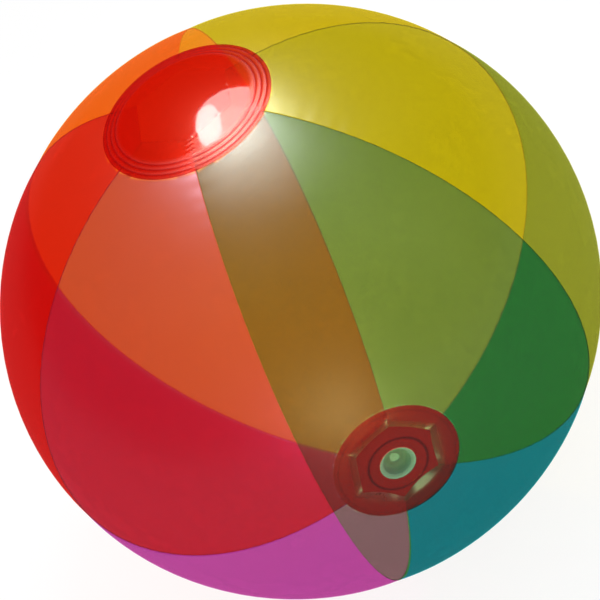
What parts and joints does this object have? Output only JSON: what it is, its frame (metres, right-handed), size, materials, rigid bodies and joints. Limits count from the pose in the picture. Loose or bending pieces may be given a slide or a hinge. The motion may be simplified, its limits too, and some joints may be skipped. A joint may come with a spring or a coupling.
{
  "type": "inflatable beach ball",
  "caption": "Inflated translucent film ball of coloured gores welded at inward seams, with round end caps and a push-in air valve with a hinged stopper.",
  "frame": {"origin": "on the polar axis, in the plane of the flat outer face of the valve end cap, which is the face the ball stands on", "axes": "+Z along the polar axis from the valve end cap up to the plain end cap; +X along the seam between the green and the yellow gore"},
  "size_m": [0.33, 0.33, 0.3159],
  "materials": {
    "film_yellow": "clear tinted vinyl film",
    "film_orange": "clear tinted vinyl film",
    "film_red": "clear tinted vinyl film",
    "film_magenta": "clear tinted vinyl film",
    "film_blue": "clear tinted vinyl film",
    "film_green": "clear tinted vinyl film",
    "film_cap": "clear tinted vinyl film",
    "valve_vinyl": "frosted clear vinyl"
  },
  "bodies": {
    "envelope": {"gore_yellow": "film_yellow", "gore_orange": "film_orange", "gore_red": "film_red", "gore_magenta": "film_magenta", "gore_blue": "film_blue", "gore_green": "film_green", "plain_end_cap": "film_cap", "valve_end_cap": "film_cap", "valve_flange": "valve_vinyl"},
    "stem": {"valve_stem": "valve_vinyl", "valve_web": "valve_vinyl"},
    "plug": {"valve_plug": "valve_vinyl", "plug_strap": "valve_vinyl"},
    "flap": {"check_flap": "valve_vinyl"}
  },
  "joints": [
    {"name": "stem_slide", "type": "slide", "parent": "envelope", "child": "stem", "axis": [0, 0, -1], "range_m": [0, 0.007], "deforming": ["valve_web"]},
    {"name": "plug_swing", "type": "hinge", "parent": "stem", "child": "plug", "pos_m": [-0.0072, 0, 0.00135], "axis": [0, 1, 0], "range_deg": [0, 90], "deforming": ["plug_strap"]},
    {"name": "flap_hinge", "type": "hinge", "parent": "stem", "child": "flap", "pos_m": [0, 0.0034, 0.0069], "axis": [-1, 0, 0], "range_deg": [0, 60]}
  ]
}
